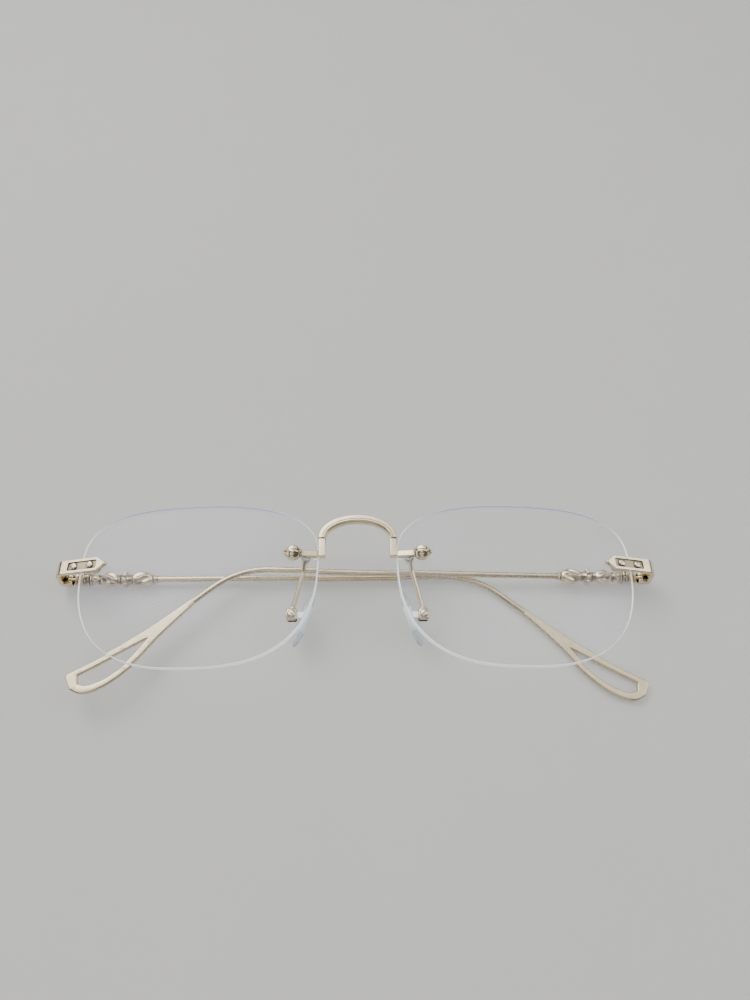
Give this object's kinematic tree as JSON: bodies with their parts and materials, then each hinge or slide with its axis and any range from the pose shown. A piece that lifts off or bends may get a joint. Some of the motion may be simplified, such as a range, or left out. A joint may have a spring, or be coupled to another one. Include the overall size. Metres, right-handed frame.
{
  "type": "rimless eyeglasses",
  "caption": "Rimless eyeglasses with pillow-shaped lenses, an arched bridge, nose pads on wire arms, wrap end pieces and slim wire temples with loop tips, shown folded.",
  "frame": {"origin": "middle of the underside of the folded pair, as it lies with the lens fronts up", "axes": "+X across the front towards the wearer's left lens, +Y up the lenses, +Z out of the lens fronts"},
  "size_m": [0.1428, 0.0448, 0.0149],
  "materials": {
    "lens": "clear, polished, with a faint blue-violet anti-reflection coating",
    "frame_metal": "polished warm silver, lightly aged in the recesses",
    "screw_metal": "polished, slotted heads",
    "pad_silicone": "clear soft silicone",
    "pad_insert": "whitish translucent hard plastic",
    "clear_nylon": "clear plastic"
  },
  "bodies": {
    "front": {"bridge": "frame_metal", "bridge_bushes": "clear_nylon", "bridge_finial_left": "frame_metal", "bridge_finial_right": "frame_metal", "bridge_nuts": "screw_metal", "bridge_washers": "clear_nylon", "end_piece_bushes": "clear_nylon", "end_piece_left": "frame_metal", "end_piece_nuts": "screw_metal", "end_piece_right": "frame_metal", "end_piece_screws": "screw_metal", "end_piece_trim_screws": "screw_metal", "end_piece_washers": "clear_nylon", "hinge_screw_left": "screw_metal", "hinge_screw_right": "screw_metal", "lens_left": "lens", "lens_right": "lens", "pad_arm_left": "frame_metal", "pad_arm_right": "frame_metal", "pad_box_left": "frame_metal", "pad_box_right": "frame_metal", "pad_screw_left": "screw_metal", "pad_screw_right": "screw_metal"},
    "temple_left": {"hinge_block_left": "frame_metal", "temple_collar_left": "frame_metal", "temple_front_olive_left": "frame_metal", "temple_neck_left": "frame_metal", "temple_rear_olive_left": "frame_metal", "temple_ring_left": "frame_metal", "temple_wire_left": "frame_metal"},
    "temple_right": {"hinge_block_right": "frame_metal", "temple_collar_right": "frame_metal", "temple_front_olive_right": "frame_metal", "temple_neck_right": "frame_metal", "temple_rear_olive_right": "frame_metal", "temple_ring_right": "frame_metal", "temple_wire_right": "frame_metal"},
    "pad_left": {"nose_pad_left": "pad_silicone", "pad_core_left": "pad_insert"},
    "pad_right": {"nose_pad_right": "pad_silicone", "pad_core_right": "pad_insert"}
  },
  "joints": [
    {"name": "temple_left_fold", "type": "hinge", "parent": "front", "child": "temple_left", "pos_m": [-0.069, 0.00683, 0.00208], "axis": [0, 1, 0], "range_deg": [0, 92]},
    {"name": "temple_right_fold", "type": "hinge", "parent": "front", "child": "temple_right", "pos_m": [0.069, 0.00683, 0.00208], "axis": [0, -1, 0], "range_deg": [0, 94]},
    {"name": "pad_left_rock", "type": "hinge", "parent": "front", "child": "pad_left", "pos_m": [-0.01525, -0.00372, 0.00618], "axis": [0, 0, 1], "range_deg": [-6, 6]},
    {"name": "pad_right_rock", "type": "hinge", "parent": "front", "child": "pad_right", "pos_m": [0.01525, -0.00372, 0.00618], "axis": [0, 0, 1], "range_deg": [-6, 6]}
  ]
}
